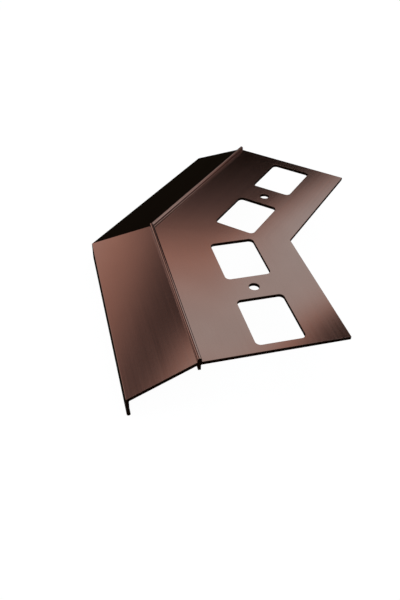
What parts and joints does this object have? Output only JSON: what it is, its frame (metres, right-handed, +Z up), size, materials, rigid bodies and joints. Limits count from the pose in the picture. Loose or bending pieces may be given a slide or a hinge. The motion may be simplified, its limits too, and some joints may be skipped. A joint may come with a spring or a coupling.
{
  "type": "drip edge corner",
  "caption": "Outside 135 degree corner for a balcony edge, with two mitred arms, perforated flanges, a sloping apron and a drip lip.",
  "frame": {"origin": "on the mitre plane, at the foot of the rib's outer side, level with the flange's underside", "axes": "+Z up out of the tile side of the flange, +X along the mitre towards the flange's inner corner; the near arm runs towards -Y and the far arm towards +Y, each 22.5 degrees off the Y axis"},
  "size_m": [0.139, 0.218, 0.0285],
  "materials": {
    "coated_aluminium": "metallic red-brown coating, satin gloss",
    "coated_weld": "the same coating over rippled weld metal"
  },
  "bodies": {
    "root": {"near_arm": "coated_aluminium", "far_arm": "coated_aluminium", "flange_weld": "coated_weld", "apron_weld": "coated_weld", "lip_weld": "coated_weld"}
  },
  "joints": []
}
